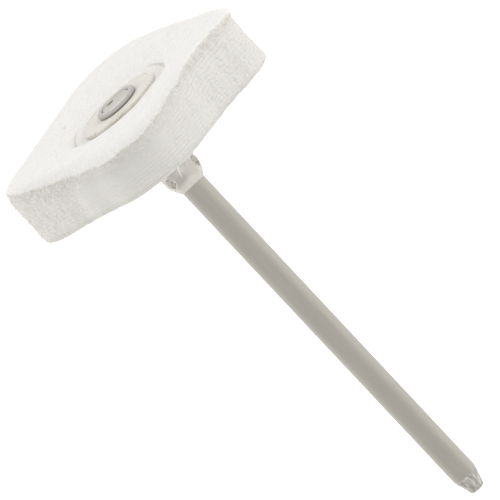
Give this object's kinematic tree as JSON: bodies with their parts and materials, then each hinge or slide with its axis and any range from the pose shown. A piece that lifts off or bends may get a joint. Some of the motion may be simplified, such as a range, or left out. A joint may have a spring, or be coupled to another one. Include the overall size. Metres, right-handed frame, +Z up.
{
  "type": "mounted muslin buff",
  "caption": "Small polishing wheel of stacked white muslin plies, clamped on an eyelet and staked to a straight steel handpiece shank.",
  "frame": {"origin": "centre of the flat tip of the shank", "axes": "+Z up the shank's axis to the wheel; X and Y run across the flat sides of the cloth plies"},
  "size_m": [0.0202, 0.0202, 0.0456],
  "materials": {
    "shank_steel": "ground lengthwise, dull",
    "ferrule_nickel": "satin nickel plate",
    "eyelet_steel": "turned and rolled, dull plated",
    "washer_fibre": "cream vulcanised fibre, matt",
    "muslin": "bleached plain-weave cotton, fuzzy cut edges"
  },
  "bodies": {
    "root": {"shank": "shank_steel", "crimp_ferrule": "ferrule_nickel", "hub_eyelet": "eyelet_steel", "lower_washer": "washer_fibre", "upper_washer": "washer_fibre", "muslin_ply_01": "muslin", "muslin_ply_02": "muslin", "muslin_ply_03": "muslin", "muslin_ply_04": "muslin", "muslin_ply_05": "muslin", "muslin_ply_06": "muslin", "muslin_ply_07": "muslin", "muslin_ply_08": "muslin", "muslin_ply_09": "muslin", "muslin_ply_10": "muslin", "muslin_ply_11": "muslin", "muslin_ply_12": "muslin", "muslin_ply_13": "muslin", "muslin_ply_14": "muslin", "muslin_ply_15": "muslin", "muslin_ply_16": "muslin"}
  },
  "joints": []
}
